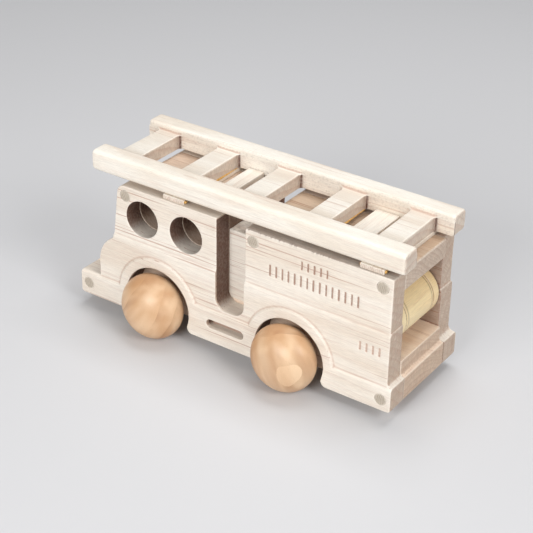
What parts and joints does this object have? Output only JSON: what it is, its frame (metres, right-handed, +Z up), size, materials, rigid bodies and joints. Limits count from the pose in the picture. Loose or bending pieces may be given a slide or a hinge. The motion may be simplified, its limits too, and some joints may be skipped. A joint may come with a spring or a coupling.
{
  "type": "wooden toy fire engine",
  "caption": "Wooden toy fire engine with ball wheels on turning dowel axles, a turning hose spool in the open rear bay and a fixed roof ladder.",
  "frame": {"origin": "on the ground plane under the wheels, below the middle of the toy's length and width", "axes": "+X towards the front bumper, +Y towards the toy's left side, +Z up"},
  "size_m": [0.1898, 0.0964, 0.0903],
  "materials": {
    "panel_wood": "satin pale maple, planed, with a clear oil",
    "core_wood": "satin pale maple, end grain darker",
    "ladder_wood": "matte pale maple, sanded",
    "wheel_wood": "satin turned birch",
    "spool_wood": "satin turned birch",
    "dowel_wood": "matte birch end grain"
  },
  "bodies": {
    "body": {"left_panel": "panel_wood", "right_panel": "panel_wood", "chassis": "core_wood", "cab_block": "core_wood", "mid_block": "core_wood", "roof_block": "core_wood", "ladder": "ladder_wood", "front_batten": "ladder_wood", "rear_batten": "ladder_wood", "front_cleat": "ladder_wood", "rear_cleat": "ladder_wood", "cab_dowel": "dowel_wood", "roof_front_dowel": "dowel_wood", "roof_rear_dowel": "dowel_wood", "front_bumper_dowel": "dowel_wood", "rear_bumper_dowel": "dowel_wood", "spool_pin": "dowel_wood"},
    "front_wheels": {"front_axle": "dowel_wood", "front_left_wheel": "wheel_wood", "front_right_wheel": "wheel_wood"},
    "rear_wheels": {"rear_axle": "dowel_wood", "rear_left_wheel": "wheel_wood", "rear_right_wheel": "wheel_wood"},
    "spool": {"hose_spool": "spool_wood"}
  },
  "joints": [
    {"name": "front_wheels_roll", "type": "hinge", "parent": "body", "child": "front_wheels", "pos_m": [0.04375, 0, 0.0175], "axis": [0, 1, 0], "continuous": true},
    {"name": "rear_wheels_roll", "type": "hinge", "parent": "body", "child": "rear_wheels", "pos_m": [-0.03665, 0, 0.0175], "axis": [0, 1, 0], "continuous": true},
    {"name": "spool_turn", "type": "hinge", "parent": "body", "child": "spool", "pos_m": [-0.07675, 0, 0.0461], "axis": [0, 1, 0], "continuous": true}
  ]
}
